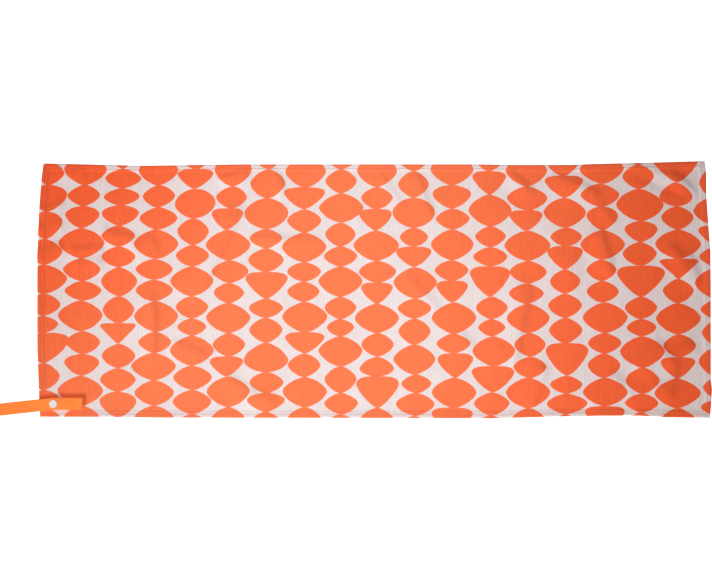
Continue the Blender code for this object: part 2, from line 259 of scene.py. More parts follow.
# Towel cloth: one sheet, hemmed all round
towel = {
    "cloth": 1.4,             # thickness of the single cloth
    "hem": 2.6,               # and of the turned-in hem
    "stitchInset": 6.5,       # from the edge to the hem's stitching
    "hemInner": (7.2, 12.4),  # the hem drops to the cloth between these
    "hemPuff": 0.2,           # the hem swells this much between its edge and the stitching
    "stitchWidth": 0.75,      # the stitching pulls a groove this wide and this deep
    "stitchDepth": 0.45,
    "stitchDepthBack": 0.3,
    "pucker": 0.45,           # how much the stitching's pull varies
    "puckerSize": 13,         # over this length
    "puckerReach": 3.5,       # and how far beside the stitching it shows
    "puckerLift": 0.5,
    "step": 3.6,              # mesh spacing
    "foldStep": 1.3,          # mesh spacing over the fold
    "foldReach": 13,          # which is used this far on each side of it
    # where the mesh has a row beside each edge, measured from that edge
    "edgeRows": (0, 0.12, 0.5, 1.3, 2.6, 4.2, 5.5, 6.1, 6.5, 6.9, 7.5, 8.4, 9.6, 11, 12.6, 15.6),
    # how the laid outline wanders: (place along the edge, how far it lies off the straight line)
    "leftEdge": [(-197, 0.2), (-153, -1.8), (-119, -3), (-95, -4), (60, -4), (130, -1), (172, 2),
                 (200, 5.5)],
    "rightEdge": [(-200, 0.8), (-156, 4), (-140, 2), (0, 2), (63, 1.3), (110, -2.4), (150, -5),
                  (184, -5.5), (200, -8)],
    "farEdge": [(-473, -0.9), (-322, -4.5), (-171, -2.3), (205, -2.3), (276, -3.3), (354, -3.3),
                (401, -1.6), (464, -0.2), (558, 2.4)],
    "nearEdge": [(-476, 1.6), (-386, 1.4), (-289, 0.2), (205, -0.6), (229, -1.1), (323, 1.6),
                 (401, 3.3), (464, 3.3), (503, 0.9), (574, -0.2)],
    # how far the cloth near the far edge is moved along the towel: (place along it, how far)
    "farGather": [(-350, 6.2), (-226, 6.2), (56, 0), (250, -2.4), (495, -5.6)],
    "gatherStart": 95,        # from here across the towel to its far edge
    "farPull": (-40, 150, -2.0),  # and from here to here it is drawn back this far across it
    "edgeReach": 45,          # the outline's wandering fades out over this
}

# Creases in the laid cloth, as an earlier folding leaves them
creaseShape = {
    "steep": 0.85,  # to the right of the way it runs, a crease is this many widths wide
    "gentle": 2.0,  # and to the left this many
    "ends": 0.22,   # each end fades out over this share of it
    "steps": 10,
}
# start, middle, end, width, height, which is less than 0 for a dip
creases = [
    ((-152, 189), (-178, 181), (-208, 172), 7, 3.4),
    ((-104, 142), (-104, 172), (-126, 194), 7, 3.6),
    ((103, 118), (68, 163), (48, 194), 6, 2.6),
    ((138, 104), (124, 150), (112, 188), 6.5, 4.8),
    ((300, 148), (278, 171), (255, 191), 8, 3.2),
    ((406, 138), (372, 166), (316, 179), 9, 3.2),
    ((426, 100), (412, 122), (398, 140), 7, 2.2),
    ((416, 16), (409, 62), (394, 102), 9, 4.6),
    ((446, 186), (495, 168), (545, 144), 8, -2.4),
    ((552, 156), (500, 181), (440, 197), 9, 3.0),
    ((562, 146), (535, 170), (508, 192), 7, 2.4),
    ((538, 24), (524, 52), (508, 76), 8, 3.2),
    ((553, 0), (545, 36), (533, 68), 8, 2.8),
    ((549, -76), (524, -97), (498, -118), 9, 3.4),
    ((505, -180), (512, -140), (522, -102), 9, 3.4),
    ((500, -136), (472, -160), (440, -186), 10, 3.4),
    ((505, -80), (478, -104), (452, -132), 14, 3.2),
    ((436, -126), (404, -156), (372, -187), 11, 3.2),
    ((286, -187), (304, -150), (318, -112), 10, 3.4),
    ((260, -130), (274, -60), (290, 20), 10, 5.0),
    ((224, -142), (240, -114), (252, -84), 8, 2.8),
    ((200, -94), (190, -80), (179, -64), 7, 2.6),
    ((150, -34), (122, -4), (94, 28), 7, 3.2),
    ((-24, 80), (-92, 80), (-162, 88), 7, 2.6),
    ((-242, -30), (-198, 60), (-158, 142), 10, 5.2),
    ((-302, -124), (-299, -60), (-306, 4), 8, 3.8),
    ((-214, -106), (-243, -93), (-275, -79), 9, 2.4),
    ((-98, -178), (-150, -160), (-200, -124), 10, 3.6),
    ((-322, 82), (-356, 88), (-388, 98), 8, 3.0),
    ((-378, 49), (-403, 44), (-430, 41), 8, 3.2),
    ((-374, 72), (-406, 64), (-436, 66), 8, 3.0),
    ((-440, 76), (-462, 62), (-482, 46), 8, 3.0),
    ((-440, 114), (-462, 103), (-482, 91), 8, 2.6),
    ((-440, 140), (-460, 132), (-480, 122), 7, 2.0),
    ((-292, 84), (-318, 74), (-340, 60), 12, 2.4),
    ((-408, 190), (-430, 186), (-455, 179), 7, 2.4),
    ((352, -20), (362, 30), (350, 70), 11, 1.8),
]
swell = {
    "broad": (110, 0.6),  # (size of a swell, its height)
    "middle": (36, 0.5),
    "fine": (15, 0.2),
    "base": 0.8,          # the cloth lies this much off the table on average
    "easeBelow": 0.3,     # below this the lift eases off, and stays above the table
    "calm": (-478, -392, -196, -158),  # by the strap the cloth lies flat: x from, to, y from, to
    "calmReach": 16,
    "foldRoom": 1.9,      # the lift stays below this at the fold, so that the halves close
    "foldSlope": 0.02,    # and below this much more for each mm away from it
}


def edgeDistance(x, y):
    return np.minimum(np.minimum(x - towelLeft, towelRight - x), np.minimum(y - towelNear, towelFar - y))


# Each layer is another cut through the same noise
def noiseAt(x, y, size, layer):
    return np.array([noise.noise(Vector((a / size, b / size, layer))) for a, b in zip(x, y)])


# A crease is a ridge along a curve through three points, steeper on one side
def creaseHeight(x, y, crease):
    start, middle, end, width, height = crease
    start, middle, end = (np.array(p, float) for p in (start, middle, end))
    steps = creaseShape["steps"]
    shares = np.linspace(0, 1, steps + 1)[:, None]
    handle = 2 * middle - (start + end) / 2
    path = (1 - shares) ** 2 * start + 2 * shares * (1 - shares) * handle + shares ** 2 * end
    nearest = np.full(x.shape, np.inf)
    side, place = np.zeros(x.shape), np.zeros(x.shape)
    for i, (a, b) in enumerate(zip(path, path[1:])):
        way = b - a
        t = np.clip(((x - a[0]) * way[0] + (y - a[1]) * way[1]) / (way @ way), 0, 1)
        offX, offY = x - a[0] - t * way[0], y - a[1] - t * way[1]
        distance = np.hypot(offX, offY)
        nearer = distance < nearest
        nearest = np.where(nearer, distance, nearest)
        side = np.where(nearer, np.sign(offX * way[1] - offY * way[0]), side)
        place = np.where(nearer, (i + t) / steps, place)
    reach = np.where(side > 0, creaseShape["steep"] * width, creaseShape["gentle"] * width)
    ends = fade(place, 0, creaseShape["ends"]) * fade(1 - place, 0, creaseShape["ends"])
    return height * ends * np.exp(-(nearest / reach) ** 2)


# How far the cloth's underside lies above the table
def liftAt(x, y):
    lift = np.full(x.shape, swell["base"], float)
    for layer, name in enumerate(("broad", "middle", "fine")):
        size, height = swell[name]
        lift += height * noiseAt(x, y, size, 3.7 + 5 * layer)
    for crease in creases:
        lift += creaseHeight(x, y, crease)
    room = swell["foldRoom"] + swell["foldSlope"] * np.abs(x - foldX)
    lift = np.where(lift > 0, room * np.tanh(lift / room), lift)
    lowX, highX, lowY, highY = swell["calm"]
    outside = np.hypot(
        np.maximum(np.maximum(lowX - x, x - highX), 0), np.maximum(np.maximum(lowY - y, y - highY), 0)
    )
    lift *= fade(outside, 0, swell["calmReach"])
    low = swell["easeBelow"]
    return np.where(lift > low, lift, low * np.exp(np.minimum(lift / low - 1, 0)))


# Where a point of the flat cloth lies, seen from above
def warp(x, y):
    def bend(edge, places):
        return np.interp(places, *zip(*towel[edge]))

    reach = towel["edgeReach"]
    atLeft = 1 - fade(x - towelLeft, 0, reach)
    atRight = 1 - fade(towelRight - x, 0, reach)
    atFar = 1 - fade(towelFar - y, 0, reach)
    atNear = 1 - fade(y - towelNear, 0, reach)
    gather = bend("farGather", x) * fade(y, towel["gatherStart"], towelFar)
    newX = x + gather * (1 - atLeft) * (1 - atRight) + bend("leftEdge", y) * atLeft
    newX += bend("rightEdge", y) * atRight
    pullStart, pullEnd, pull = towel["farPull"]
    newY = y + pull * fade(y, pullStart, pullEnd) * (1 - atFar)
    newY += bend("farEdge", x) * atFar + bend("nearEdge", x) * atNear
    return newX, newY


# Top and underside of the cloth over the table, from its distance to the edge
def hemProfile(distance, pucker):
    half = towel["hem"] / 2
    rounding = np.sqrt(1 - (1 - np.clip(distance / half, 0, 1)) ** 2)
    inner = fade(distance, *towel["hemInner"])
    top = towel["hem"] + (towel["cloth"] - towel["hem"]) * inner
    top += towel["hemPuff"] * np.sin(np.pi * np.clip(distance / towel["stitchInset"], 0, 1))
    fromStitching = distance - towel["stitchInset"]
    groove = np.exp(-(fromStitching / towel["stitchWidth"]) ** 2)
    top -= towel["stitchDepth"] * groove * (1 + pucker)
    top += towel["puckerLift"] * pucker * np.exp(-(fromStitching / towel["puckerReach"]) ** 2)
    under = towel["stitchDepthBack"] * groove
    return half + (top - half) * rounding, half + (under - half) * rounding


# Where places of the flat cloth lie in the laid towel, on its top or on its back
def clothPoints(x, y, onTop):
    newX, newY = warp(x, y)
    pucker = towel["pucker"] * noiseAt(x, y, towel["puckerSize"], 21.0)
    top, under = hemProfile(edgeDistance(x, y), pucker)
    return np.column_stack((newX, newY, liftAt(x, y) + np.where(onTop, top, under)))


# The mesh's rows between two edges, closer together beside each
def meshPlaces(low, high):
    rows = np.array(towel["edgeRows"])
    inner = np.arange(low + rows[-1], high - rows[-1], towel["step"])[1:]
    return np.concatenate((low + rows, inner, (high - rows)[::-1]))


# Two grids back to back, joined round their rim
def makeCloth(materials):
    xs, ys = meshPlaces(towelLeft, towelRight), meshPlaces(towelNear, towelFar)
    reach = towel["foldReach"]
    overFold = np.arange(foldX - reach, foldX + reach + 0.1, towel["foldStep"])
    xs = np.concatenate((xs[xs < overFold[0] - 1], overFold, xs[xs > overFold[-1] + 1]))

    bm = bmesh.new()
    bmesh.ops.create_grid(bm, x_segments=len(xs) - 1, y_segments=len(ys) - 1, size=0.5)
    copied = bmesh.ops.duplicate(bm, geom=bm.verts[:] + bm.edges[:] + bm.faces[:])["geom"]
    backFaces = [g for g in copied if isinstance(g, bmesh.types.BMFace)]
    backPoints = [g for g in copied if isinstance(g, bmesh.types.BMVert) and not g.is_boundary]
    bmesh.ops.reverse_faces(bm, faces=backFaces)
    for face in backFaces:
        face.material_index = 1
    bmesh.ops.translate(bm, vec=(0, 0, -1), verts=backPoints)
    bmesh.ops.remove_doubles(bm, verts=bm.verts, dist=0.00001)
    obj = meshObject("towelCloth", bm, materials)

    grid = getPoints(obj.data)
    x = xs[np.rint((grid[:, 0] + 0.5) * (len(xs) - 1)).astype(int)]
    y = ys[np.rint((grid[:, 1] + 0.5) * (len(ys) - 1)).astype(int)]
    setPoints(obj.data, clothPoints(x, y, grid[:, 2] > -0.5))
    flatPlace = np.column_stack((x, y, np.zeros_like(x)))
    setAttribute(obj.data, "flatPlace", "FLOAT_VECTOR", "POINT", flatPlace)
    setAttribute(obj.data, "fromEdge", "FLOAT", "POINT", edgeDistance(x, y))
    storePrint(obj.data, x, y)
    return obj


# Microfibre: brushed polyester and polyamide loops, dyed by a screen print on one side. It is
# matt with a soft sheen at a grazing angle, and its ribs show as fine streaks along the width.
microfibre = {
    "ground": "#EBDDDC",
    "shadedGround": "#EBD9D7",
    "dye": "#FF7B4B",
    "shadedDye": "#FF5F2C",      # painted shade: the dye is drawn deeper and redder where less light falls, at the right end and the far left corner
    "shadedRight": (20, 560),    # from here to here along the towel
    "shadedCorner": (150, 620),  # and from here to here along the way to the far left corner
    "cornerLean": 0.9,
    "back": "#EFE4E0",
    "backPrint": 0.07,         # this share of the print shows through on the back
    "rib": (2.6, 46),          # a rib's width and length
    "dash": (1.7, 13),         # a slub's
    "nap": 0.5,                # size of the brushed loops, drawn coarser than the real 0.1
    "patch": 60,               # size of the cloth's lighter and darker patches
    "streaks": (0.88, 1.015),  # how dark and how light the ribs and slubs make it
    "patches": (0.985, 1.01),
    "hemShade": (0.955, 1.0),  # painted shade: the doubled hem lets less light through, so it is drawn darker
    "hemShadeEnds": (5.0, 8.5),
    "relief": 0.25,
    "roughness": 0.92,
}


# Noise with this size in mm along the place's X and Y
def sizedNoise(tree, place, size, detail=2.0, roughness=0.5):
    scale = (1 / size[0], 1 / size[1], 1)
    scaled = addNode(tree, "Mapping", {"Vector": place, "Scale": scale})
    inputs = {"Vector": scaled, "Scale": 1.0, "Detail": detail, "Roughness": roughness}
    return addNode(tree, "TexNoise", inputs)


# How far each place lies outside the print's nearest edge, which wanders and frays
def printDistance(tree, place, nap):
    distance = fabricPrint["farOutside"]
    for name in printAttributes:
        toShape = addNode(tree, "Attribute", output="Fac", attribute_name=name)
        distance = addNode(tree, "Math", {0: toShape, 1: distance}, operation="MINIMUM")
    wander = sizedNoise(tree, place, (fabricPrint["wobbleSize"], fabricPrint["wobbleSize"]))
    for unevenness, size in ((wander, 2 * fabricPrint["wobble"]), (nap, fabricPrint["fray"])):
        offset = addNode(tree, "Math", {0: unevenness, 1: 0.5}, operation="SUBTRACT")
        distance = addNode(tree, "Math", {0: offset, 1: size, 2: distance}, operation="MULTIPLY_ADD")
    return distance


# How much painted shade the colours get, from 0 to 1: more towards the right end and the far left corner
def paintedShadeShare(tree, place):
    alongX = addNode(tree, "SeparateXYZ", {"Vector": place}, output="X")
    alongY = addNode(tree, "SeparateXYZ", {"Vector": place}, output="Y")
    leaning = addNode(tree, "Math", {0: alongY, 1: microfibre["cornerLean"]}, operation="MULTIPLY")
    toCorner = addNode(tree, "Math", {0: leaning, 1: alongX}, operation="SUBTRACT")
    depth = 0.0
    for way, (start, end) in ((alongX, microfibre["shadedRight"]), (toCorner, microfibre["shadedCorner"])):
        share = addNode(
            tree, "MapRange", {"Value": way, "From Min": start, "From Max": end},
            interpolation_type="SMOOTHSTEP",
        )
        depth = addNode(tree, "Math", {0: share, 1: depth}, operation="MAXIMUM")
    return depth


# The streaks, patches and the hem's painted shade as one grey that darkens the colour
def clothShade(tree, ribs, dashes, patches):
    streaks = addNode(tree, "Math", {0: ribs, 1: dashes}, operation="ADD")
    streaks = addNode(tree, "Math", {0: streaks, 1: 0.5}, operation="MULTIPLY")
    fromEdge = addNode(tree, "Attribute", output="Fac", attribute_name="fromEdge")
    shade = 1.0
    for value, (start, end), (dark, light), step in (
        (streaks, (0.3, 0.6), microfibre["streaks"], "LINEAR"),
        (patches, (0.3, 0.7), microfibre["patches"], "LINEAR"),
        (fromEdge, microfibre["hemShadeEnds"], microfibre["hemShade"], "SMOOTHSTEP"),
    ):
        layer = addNode(
            tree, "MapRange",
            {"Value": value, "From Min": start, "From Max": end, "To Min": dark, "To Max": light},
            interpolation_type=step,
        )
        shade = addNode(tree, "Math", {0: layer, 1: shade}, operation="MULTIPLY")
    return addNode(tree, "CombineColor", {"Red": shade, "Green": shade, "Blue": shade})


def microfibreCloth(name, printShare, groundColour):
    material, tree, shader = newMaterial(
        name, groundColour, microfibre["roughness"],
        {"Sheen Weight": 0.2, "Sheen Roughness": 0.55, "Specular IOR Level": 0.25},
    )
    place = addNode(tree, "Attribute", output="Vector", attribute_name="flatPlace")
    ribs = sizedNoise(tree, place, microfibre["rib"], 3.0, 0.6)
    dashes = sizedNoise(tree, place, microfibre["dash"])
    nap = sizedNoise(tree, place, (microfibre["nap"], microfibre["nap"]))
    patches = sizedNoise(tree, place, (microfibre["patch"], microfibre["patch"]))

    soft = fabricPrint["softEdge"]
    distance = printDistance(tree, place, nap)
    printed = addNode(
        tree, "MapRange", {"Value": distance, "From Min": soft, "From Max": -soft, "To Max": printShare},
        interpolation_type="SMOOTHSTEP",
    )
    # painted shade: the ground and the dye are drawn deeper towards the right end and the far left corner
    depth = paintedShadeShare(tree, place)
    ground, dye = (
        addNode(tree, "Mix", {0: depth, 6: unshadedColour, 7: microfibre[shadedKey]}, 2, data_type="RGBA")
        for unshadedColour, shadedKey in ((groundColour, "shadedGround"), (microfibre["dye"], "shadedDye"))
    )
    colour = addNode(tree, "Mix", {0: printed, 6: ground, 7: dye}, 2, data_type="RGBA")
    shade = clothShade(tree, ribs, dashes, patches)
    colour = addNode(
        tree, "Mix", {0: 1.0, 6: colour, 7: shade}, 2, data_type="RGBA", blend_type="MULTIPLY"
    )
    relief = addNode(tree, "Math", {0: nap, 1: 0.5}, operation="MULTIPLY")
    relief = addNode(tree, "Math", {0: ribs, 1: 0.7, 2: relief}, operation="MULTIPLY_ADD")
    finishShader(tree, shader, colour, relief, 0.5, microfibre["relief"])
    return material


cloth = makeCloth([
    microfibreCloth("printedMicrofibre", 1.0, microfibre["ground"]),
    microfibreCloth("microfibreBack", microfibre["backPrint"], microfibre["back"]),
])
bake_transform(cloth)
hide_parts("towel_cloth_left", "towel_cloth_right")
print("towel cloth:", len(cloth.data.polygons), "faces")


# Sewing thread: spun polyester, two plies with a slight sheen, pulled down into the cloth
hemThread = {
    "colour": "#F28872",
    "shadow": "#DE6A56",
    "pitch": 3.1,   # from one stitch to the next
    "length": 2.7,  # a stitch's size
    "width": 0.75,
    "height": 0.5,
    "above": 0.1,   # the thread's middle over the groove
    "endGap": 1.5,  # the lines across the ends stop this far from the long edges
}
ply = {"size": 0.35, "relief": 0.06}  # a ply is about half as wide as its thread


def threadMaterial(name, colour, shadow):
    material, tree, shader = newMaterial(
        name, colour, 0.6, {"Sheen Weight": 0.15, "Specular IOR Level": 0.4}
    )
    place = addNode(tree, "TexCoord", output="Object")
    plies = addNode(tree, "TexNoise", {"Vector": place, "Scale": 1 / (ply["size"] * mm), "Detail": 2.0})
    tone = addNode(tree, "Mix", {0: plies, 6: shadow, 7: colour}, 2, data_type="RGBA")
    finishShader(tree, shader, tone, plies, 0.4, ply["relief"])
    return material


# Evenly spaced stitches along X, from 0 to length, round their own middle line
def stitchRow(name, length, thread, material):
    count = max(1, round(length / thread["pitch"]))
    pitch = length / count
    bm = bmesh.new()
    bmesh.ops.create_uvsphere(bm, u_segments=6, v_segments=4, radius=0.5)
    bmesh.ops.rotate(bm, verts=bm.verts, matrix=Matrix.Rotation(math.radians(90), 3, "Y"))
    bmesh.ops.scale(bm, verts=bm.verts, vec=(thread["length"], thread["width"], thread["height"]))
    bmesh.ops.translate(bm, verts=bm.verts, vec=(pitch / 2, 0, 0))
    one = meshObject(name + "Stitch", bm, [material])
    repeat = one.modifiers.new("Row", "ARRAY")
    repeat.count = count
    repeat.use_relative_offset = False
    repeat.use_constant_offset = True
    repeat.constant_offset_displace = (pitch, 0, 0)
    mesh = bpy.data.meshes.new_from_object(one.evaluated_get(bpy.context.evaluated_depsgraph_get()))
    bpy.data.objects.remove(one)
    mesh.name = name
    return mesh, getPoints(mesh)


# A row of stitches along a line on the towel: its mesh, the place on the line beside each of its
# points, the points' own places, and their heights over the line
def stitchLine(name, start, end, thread, material):
    (startX, startY), (endX, endY) = start, end
    length = math.hypot(endX - startX, endY - startY)
    wayX, wayY = (endX - startX) / length, (endY - startY) / length
    mesh, points = stitchRow(name, length, thread, material)
    run, aside, above = points.T
    onLine = np.array((startX + wayX * run, startY + wayY * run))
    return mesh, onLine, onLine + np.array((-wayY * aside, wayX * aside)), above


# One hem line, with its stitches on the cloth's top and on its back
def hemSeam(name, start, end, material):
    bm = bmesh.new()
    for onTop in (True, False):
        mesh, onLine, places, above = stitchLine(name, start, end, hemThread, material)
        points = clothPoints(*places, onTop)
        gap = hemThread["above"] if onTop else -hemThread["above"]
        points[:, 2] = clothPoints(*onLine, onTop)[:, 2] + (above + gap)
        setPoints(mesh, points)
        bm.from_mesh(mesh)
        bpy.data.meshes.remove(mesh)
    return meshObject(name, bm, [material])


inset = towel["stitchInset"]
seamLeft, seamRight = towelLeft + inset, towelRight - inset
seamNear, seamFar = towelNear + inset, towelFar - inset
hemThreadLook = threadMaterial("polyesterHemThread", hemThread["colour"], hemThread["shadow"])
for side, seamY in (("Near", seamNear), ("Far", seamFar)):
    seam = hemSeam("hemSeam" + side, (seamLeft, seamY), (seamRight, seamY), hemThreadLook)
    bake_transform(seam)
    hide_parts(f"hem_thread_{side.lower()}_left", f"hem_thread_{side.lower()}_right")
endNear, endFar = towelNear + hemThread["endGap"], towelFar - hemThread["endGap"]
for side, seamX in (("Left", seamLeft), ("Right", seamRight)):
    seam = hemSeam("hemSeam" + side, (seamX, endNear), (seamX, endFar), hemThreadLook)
    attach(seam, "towel_" + side.lower())
    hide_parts(f"hem_thread_{side.lower()}_end")


# Strap: 19 mm webbing, doubled into the hanging loop
strap = {
    "width": 19,
    "thickness": 1.1,
    "pickPitch": 1.25,    # along the strap, from one raised crossing to the next
    "warpColumns": 16,    # steps across it, of which every other one is raised
    "relief": 0.09,       # how far a crossing stands out
    "selvedge": 1.6,      # the strap thins over this beside each edge
    "thinning": 0.25,     # by this share
    "edgeSteps": 4,       # mesh steps round each edge
    "legPoints": 160,     # points along a leg's path, and along a half turn's
    "turnPoints": 40,
    "tabReach": 45.5,     # from the snap to the square end
    "turnedUnder": 15,    # length of the end that is turned under
    "tuck": 0.15,         # half the gap inside that turn
    "sewnLength": 27,     # length sewn down on the cloth
    "riseReach": 9,       # the lower leg starts to rise this far before the sewn part's end
    "snapFlat": 1.2,      # and has risen by this many snap radii from the snap's middle
    "leanReach": 7,       # the strap turns from straight to leaning within this of the snap
    "dropLength": 20,     # the loop comes down to the table over this
    "joinGap": 3,         # the bend's piece starts this far before the bend
    "liftRoll": 6,        # a distance on each side of the lifting place
    "bendMargin": 0.7,    # a distance inside the bend's height
    "fold": (-42.5, 3.0, 0.35),  # a faint old fold: run, width, depth
    "sag": 0.5,           # the upper leg sags this much between that fold and the bend
    "sagReach": 16,
    "bendPattern": 155,   # the weave's pattern goes on from the lower leg to the bend here
    "upperPattern": 175,  # and to the upper leg here
}
snapLow, snapHigh = boxOf("snap_cap")
snapMiddle = Vector(((snapLow.x + snapHigh.x) / 2, (snapLow.y + snapHigh.y) / 2, 0))
liftPoint, liftAxis = jointPlace("loop_lift")
openPoint, _ = jointPlace("snap_open")
loopWay = Vector((liftAxis.y, -liftAxis.x, 0))
liftRun = (liftPoint - snapMiddle).dot(loopWay)
bendRun = (openPoint - snapMiddle).dot(loopWay)
halfStrap = strap["thickness"] / 2
baseLow, baseHigh = boxOf("strap_base")
bendBoxLow, bendBoxHigh = boxOf("strap_bend")
# Heights are those of the webbing's middle
sewnHeight = baseLow.z + halfStrap
overHemHeight = baseHigh.z - halfStrap
upperHeight = boxOf("strap_tab")[1].z - halfStrap
bendLow = bendBoxLow.z + halfStrap
bendHigh = bendBoxHigh.z - halfStrap
bendRadius = (bendHigh - bendLow) / 2
snapReach = (snapHigh.x - snapLow.x) / 2


# run is the distance along the strap from the snap, positive over the towel. The loop leans.
def strapPlace(run, height, across):
    loopShare = 1 - fade(run, -strap["leanReach"], strap["leanReach"])
    straight = np.column_stack((run, np.zeros_like(run), height))
    leaning = np.column_stack((run * loopWay.x, run * loopWay.y, height))
    centre = np.array(snapMiddle) + np.where(run[:, None] > 0, straight, leaning)
    angle = loopShare * math.atan2(loopWay.y, loopWay.x)
    side = np.column_stack((-np.sin(angle), np.cos(angle), np.zeros_like(angle)))
    return centre + side * across[:, None], side


# The lower leg: sewn down on the cloth, then over the hem, then down to the table
def lowerHeight(run):
    riseStart = strap["tabReach"] - strap["sewnLength"] + strap["riseReach"]
    risen = 1 - fade(run, strap["snapFlat"] * snapReach, riseStart)
    dropped = 1 - fade(run, liftRun - strap["dropLength"], liftRun)
    return sewnHeight + (overHemHeight - sewnHeight) * risen + (bendLow - overHemHeight) * dropped


# The upper leg: level over the snap, then down to the bend
def upperLegHeight(run):
    height = upperHeight + (bendHigh - upperHeight) * (1 - fade(run, bendRun, liftRun))
    foldRun, foldWidth, foldDepth = strap["fold"]
    height -= foldDepth * np.exp(-((run - foldRun) / foldWidth) ** 2)
    sagRun = (bendRun + foldRun) / 2
    return height - strap["sag"] * np.exp(-((run - sagRun) / strap["sagReach"]) ** 2)


# The same (run, height) line with even steps
def evenly(path, step):
    path = np.array(path, float)
    lengths = np.concatenate(([0], np.cumsum(np.hypot(*np.diff(path, axis=0).T))))
    places = np.linspace(0, lengths[-1], max(2, round(lengths[-1] / step)) + 1)
    return np.column_stack([np.interp(places, lengths, path[:, i]) for i in range(2)])


# (across, out of the middle, relief share) round the webbing, without the last point
def webbingSection():
    flat = np.linspace(-1, 1, strap["warpColumns"] + 1) * (strap["width"] / 2 - halfStrap)
    steps = strap["edgeSteps"]
    points = []
    for way, columns in ((1, flat), (-1, flat[::-1])):
        points += [(across, way * halfStrap, way) for across in columns]
        for angle in (math.pi * i / steps for i in range(1, steps)):
            roundX, roundZ = halfStrap * math.sin(angle), halfStrap * math.cos(angle)
            points.append((columns[-1] + way * roundX, way * roundZ, 0))
    return np.array(points)


# A length of webbing along a (run, height) line. patternStart is where the weave's pattern starts.
def makeWebbing(name, path, patternStart, material):
    step = strap["pickPitch"] / 2
    path = evenly(path, step)
    section = webbingSection()
    rows, count = len(path), len(section)
    bm = bmesh.new()
    bmesh.ops.create_grid(bm, x_segments=rows - 1, y_segments=count, size=0.5)
    obj = meshObject(name, bm, [material])
    grid = getPoints(obj.data)
    i = np.rint((grid[:, 0] + 0.5) * (rows - 1)).astype(int)
    j = np.rint((grid[:, 1] + 0.5) * count).astype(int) % count
    way = np.gradient(path, axis=0)
    way /= np.hypot(*way.T)[:, None]
    across, out, share = section[j].T
    checker = np.where((i + j) % 2 == 0, 1, -1)
    out = out + strap["relief"] * share * checker
    toSelvedge = (np.abs(across) - strap["width"] / 2 + strap["selvedge"]) / strap["selvedge"]
    out *= 1 - strap["thinning"] * np.clip(toSelvedge, 0, 1)
    centre, side = strapPlace(path[i, 0], path[i, 1], across)
    ahead = np.cross(side, np.array((0, 0, 1.0)))
    ahead *= np.where(ahead[:, :1] < 0, -1, 1)
    placed = centre - ahead * (way[i, 1] * out)[:, None]
    placed[:, 2] = path[i, 1] + way[i, 0] * out
    setPoints(obj.data, placed)
    patternPlace = np.column_stack((patternStart + i * step, across, out))
    setAttribute(obj.data, "strapPlace", "FLOAT_VECTOR", "POINT", patternPlace)

    bm = bmesh.new()
    bm.from_mesh(obj.data)
    bmesh.ops.remove_doubles(bm, verts=bm.verts, dist=0.00001)
    openEdges = [edge for edge in bm.edges if edge.is_boundary]
    bmesh.ops.holes_fill(bm, edges=openEdges, sides=0)
    for edge in openEdges:
        edge.smooth = False
    bmesh.ops.recalc_face_normals(bm, faces=bm.faces)
    bm.to_mesh(obj.data)
    bm.free()
    return obj


# Webbing: flat-woven polyester with a crossing every 1.25 mm and a soft sheen. Its yarn is dyed a
# fluorescent orange, and it is drawn with painted light: an emission that makes it brighter than the light
# that falls on it.
webbing = {
    "colour": "#FF8E3C",
    "shadow": "#FF7C2C",
    # painted shade: a darker orange where the weave dips between crossings
    "groove": "#F26A1E",
    "grooveShadeShare": 0.55,  # share of the painted groove shade between two crossings
    "yarn": (0.5, 1.2),   # a yarn's unevenness, along the strap and across it
    "tuft": (22, 5),      # and the broader unevenness of its dye
    "relief": 0.18,
    "waveBands": 3.2,     # a wave texture has about this many bands a unit
    # painted light: the webbing glows in its darker orange
    "paintedGlow": 0.2,
    "roughness": 0.7,
}


def webbingMaterial():
    # painted light: an emission makes the webbing brighter than its lighting
    material, tree, shader = newMaterial(
        "wovenPolyesterWebbing", webbing["colour"], webbing["roughness"],
        {"Sheen Weight": 0.15, "Sheen Roughness": 0.4, "Specular IOR Level": 0.3,
         "Emission Color": linear(webbing["shadow"]), "Emission Strength": webbing["paintedGlow"]},
    )
    place = addNode(tree, "Attribute", output="Vector", attribute_name="strapPlace")
    yarns = sizedNoise(tree, place, webbing["yarn"])
    tufts = sizedNoise(tree, place, webbing["tuft"])
    bands = 1 / (strap["pickPitch"] / 2) / webbing["waveBands"]
    wave = addNode(
        tree, "TexWave", {"Vector": place, "Scale": bands, "Distortion": 1.2, "Detail": 1.0},
        output="Fac", bands_direction="X",
    )
    tone = addNode(tree, "Math", {0: yarns, 1: tufts}, operation="ADD")
    tone = addNode(tree, "Math", {0: tone, 1: 0.5}, operation="MULTIPLY")
    tone = addNode(tree, "MapRange", {"Value": tone, "From Min": 0.35, "From Max": 0.6})
    shadow, light = webbing["shadow"], webbing["colour"]
    colour = addNode(tree, "Mix", {0: tone, 6: shadow, 7: light}, 2, data_type="RGBA")
    # painted shade between the crossings, in the wave's troughs
    groove = addNode(
        tree, "MapRange", {"Value": wave, "From Max": 0.45, "To Min": webbing["grooveShadeShare"], "To Max": 0.0}
    )
    colour = addNode(tree, "Mix", {0: groove, 6: colour, 7: webbing["groove"]}, 2, data_type="RGBA")
    relief = addNode(tree, "Math", {0: yarns, 1: 0.5}, operation="MULTIPLY")
    relief = addNode(tree, "Math", {0: wave, 1: 0.7, 2: relief}, operation="MULTIPLY_ADD")
    finishShader(tree, shader, colour, relief, 0.7, webbing["relief"])
    return material


# A half turn of the strap, up from this height, or down from it when up is -1
def halfTurn(run, height, radius, up):
    angles = np.linspace(0, math.pi, strap["turnPoints"])
    return [(run - up * radius * math.sin(a), height + up * radius * (1 - math.cos(a))) for a in angles]


